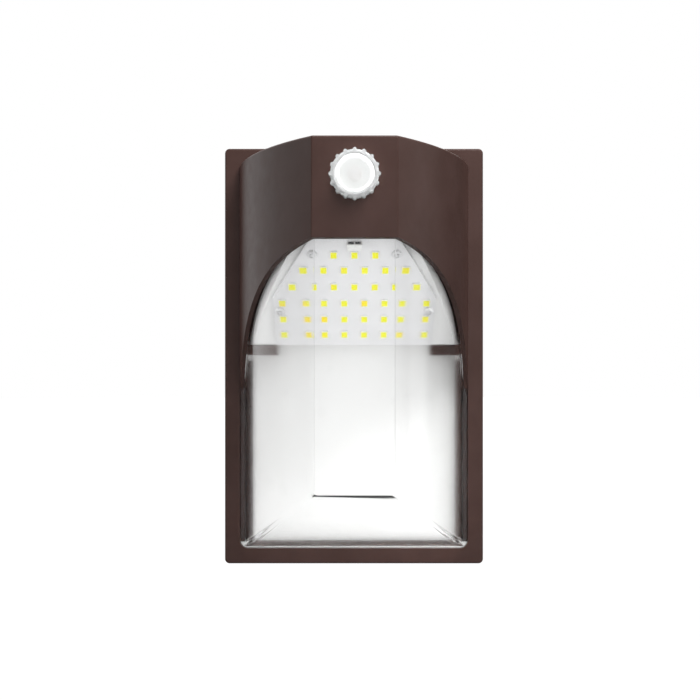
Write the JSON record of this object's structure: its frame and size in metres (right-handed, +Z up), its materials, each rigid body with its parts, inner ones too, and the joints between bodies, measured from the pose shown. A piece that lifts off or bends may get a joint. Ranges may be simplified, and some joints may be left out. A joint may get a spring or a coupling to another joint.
{
  "type": "wall pack light",
  "caption": "Small bronze outdoor LED wall pack with a deep hood, clear wrap-round lens, sloped LED board and a clear screw cap over its photocell.",
  "frame": {"origin": "centre of the rear face, on the wall plane, in the middle of the wire hole", "axes": "+Y into the wall, so the light faces -Y; +Z up the wall; +X to the viewer's right from the front"},
  "size_m": [0.112, 0.0954, 0.18],
  "materials": {
    "foam_rubber": "closed-cell foam rubber",
    "bronze_paint": "dark bronze powder coat on die-cast aluminium",
    "black_rubber": "matt rubber",
    "grey_silicone": "silicone",
    "steel": "zinc plated",
    "green_screw": "green ground screw",
    "clear_lens": "clear polycarbonate, slightly frosted inside",
    "white_paint": "white reflective paint",
    "white_board": "aluminium board with a pale solder mask",
    "thermal_silicone": "soft thermal pad",
    "bare_aluminium": "milled",
    "led_yellow": "phosphor",
    "dark_plastic": "moulded",
    "black_plastic": "moulded",
    "green_board": "glass fibre circuit board",
    "transformer_yellow": "taped winding and ferrite core",
    "capacitor_black": "sleeved can",
    "white_nylon": "nylon",
    "sensor_red": "light cell",
    "clear_cap": "clear polycarbonate",
    "wire_red": "insulation",
    "wire_black": "insulation"
  },
  "bodies": {
    "back_plate": {"wall_gasket": "foam_rubber", "back_plate": "bronze_paint", "wire_grommet": "black_rubber", "body_gasket": "grey_silicone", "hinge_pins": "steel", "cover_screws": "steel", "ground_screw": "green_screw"},
    "front_housing": {"front_housing": "bronze_paint", "lens": "clear_lens", "lens_gasket": "grey_silicone", "reflector": "white_paint", "led_board": "white_board", "thermal_pad": "thermal_silicone", "heat_spreader": "bare_aluminium", "led_chips": "led_yellow", "led_board_screws": "steel", "board_connector": "dark_plastic", "reflector_screws": "steel", "driver_case": "black_plastic", "driver_lid": "black_plastic", "driver_board": "green_board", "driver_transformer": "transformer_yellow", "driver_capacitors": "capacitor_black", "driver_inductor": "dark_plastic", "driver_screws": "steel", "terminal_block": "white_nylon", "terminal_screws": "steel", "photocell_holder": "white_nylon", "photocell_sensor": "sensor_red", "led_leads": "wire_red", "photocell_leads": "wire_black"},
    "cap_seal": {"cap_seal": "black_rubber"},
    "photocell_cap": {"photocell_cap": "clear_cap"}
  },
  "joints": [
    {"name": "housing_swing", "type": "hinge", "parent": "back_plate", "child": "front_housing", "pos_m": [0, -0.006, 0.0865], "axis": [-1, 0, 0], "range_deg": [0, 90]},
    {"name": "cap_lift", "type": "slide", "parent": "front_housing", "child": "cap_seal", "axis": [0, -1, 0], "range_m": [0, 0.0045]},
    {"name": "cap_turn", "type": "hinge", "parent": "cap_seal", "child": "photocell_cap", "pos_m": [0, -0.09, 0.068], "axis": [0, -1, 0], "range_deg": [0, 1080]}
  ],
  "couplings": [
    {"joint": "cap_turn", "follows": "cap_lift", "rad_per_m": 4188.8}
  ]
}
